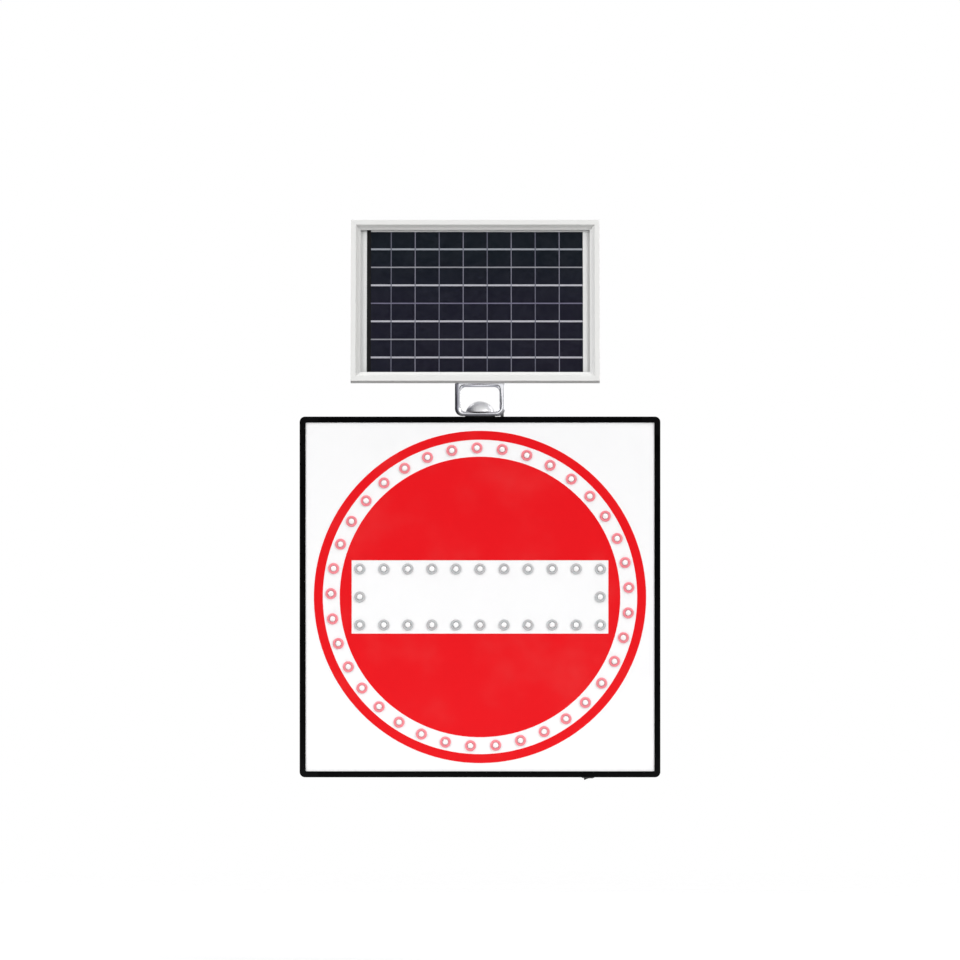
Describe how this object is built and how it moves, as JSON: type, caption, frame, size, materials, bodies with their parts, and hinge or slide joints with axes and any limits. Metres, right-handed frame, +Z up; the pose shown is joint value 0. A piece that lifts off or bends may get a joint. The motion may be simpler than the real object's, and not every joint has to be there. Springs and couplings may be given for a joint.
{
  "type": "solar powered road sign",
  "caption": "Square LED no-entry road sign on a post clamp, with a solar panel above it on a loop bracket that swivels and tilts.",
  "frame": {"origin": "on the post axis, at the middle of the lower post clamp", "axes": "+Z up along the post, +X to the right of someone facing the sign, the face looks along -Y"},
  "size_m": [0.6, 0.1675, 0.9338],
  "materials": {
    "black_frame": "satin black powder coat",
    "black_moulding": "moulded black plastic",
    "zinc_steel": "zinc plated",
    "bare_aluminium": "mill finish sheet",
    "white_sheeting": "retroreflective sheeting",
    "red_film": "translucent red film on the sheeting",
    "seal_rubber": "matt black",
    "pink_bezel": "translucent pink",
    "grey_bezel": "light grey",
    "clear_lens": "clear lens over a white diffuser",
    "circuit_board": "green solder mask",
    "cell_wrap": "blue shrink wrap",
    "black_plastic": "moulded",
    "grey_plastic": "moulded",
    "cable_sheath": "black sheath",
    "gloss_black": "gloss black",
    "rail_aluminium": "extruded, mill finish",
    "galvanised_steel": "hot-dip galvanised",
    "polished_loop": "polished casting",
    "chrome_cap": "polished dome",
    "panel_aluminium": "silver anodised",
    "panel_glass": "tempered solar glass",
    "solar_cell": "dark blue silicon",
    "tinned_ribbon": "tinned copper",
    "backsheet_white": "white film",
    "black_tape": "black insulating strip"
  },
  "bodies": {
    "sign": {"frame_top": "black_frame", "frame_bottom": "black_frame", "frame_left": "black_frame", "frame_right": "black_frame", "frame_corners": "black_moulding", "corner_screws": "zinc_steel", "face_plate": "bare_aluminium", "white_sheeting": "white_sheeting", "red_legend": "red_film", "face_gasket": "seal_rubber", "ring_led_bezels": "pink_bezel", "bar_led_bezels": "grey_bezel", "ring_leds": "clear_lens", "bar_leds": "clear_lens", "ring_led_boards": "circuit_board", "bar_led_boards": "circuit_board", "board_studs": "zinc_steel", "back_plate": "bare_aluminium", "back_screws": "zinc_steel", "service_hatch": "bare_aluminium", "hatch_gasket": "seal_rubber", "battery_cells": "cell_wrap", "battery_cradle": "black_plastic", "controller_case": "grey_plastic", "controller_lid": "grey_plastic", "controller_board": "circuit_board", "wiring_loom": "cable_sheath", "switch_body": "black_plastic", "cable_gland": "black_plastic", "gland_nut": "black_plastic", "mounting_rails": "rail_aluminium", "rail_rivets": "bare_aluminium", "clamp_saddles": "galvanised_steel", "clamp_straps": "galvanised_steel", "clamp_bolts": "zinc_steel", "load_plate": "galvanised_steel", "swivel_bolt": "zinc_steel", "swivel_washer": "seal_rubber", "cable_lower": "cable_sheath"},
    "rocker": {"switch_rocker": "gloss_black"},
    "loop": {"loop_bracket": "polished_loop", "cable_clip": "black_plastic", "tilt_bolt": "zinc_steel", "dome_cap": "chrome_cap", "cable_upper": "cable_sheath"},
    "panel": {"panel_frame_top": "panel_aluminium", "panel_frame_bottom": "panel_aluminium", "panel_frame_left": "panel_aluminium", "panel_frame_right": "panel_aluminium", "frame_keys": "black_plastic", "panel_glass": "panel_glass", "solar_cells": "solar_cell", "cell_ribbons": "tinned_ribbon", "backsheet": "backsheet_white", "string_cover": "black_tape", "junction_box": "black_plastic", "junction_lid": "black_plastic", "panel_strut": "rail_aluminium", "tilt_bracket": "galvanised_steel", "panel_bolts": "zinc_steel"}
  },
  "joints": [
    {"name": "panel_yaw", "type": "hinge", "parent": "sign", "child": "loop", "pos_m": [0, -0.084, 0.47], "axis": [0, 0, 1], "range_deg": [-60, 60], "deforming": ["cable_lower"]},
    {"name": "panel_tilt", "type": "hinge", "parent": "loop", "child": "panel", "pos_m": [0, -0.084, 0.539], "axis": [-1, 0, 0], "range_deg": [-10, 65], "deforming": ["cable_upper"]},
    {"name": "switch_rock", "type": "hinge", "parent": "sign", "child": "rocker", "pos_m": [0.18, -0.084, -0.13], "axis": [0, 1, 0], "range_deg": [0, 22]}
  ]
}
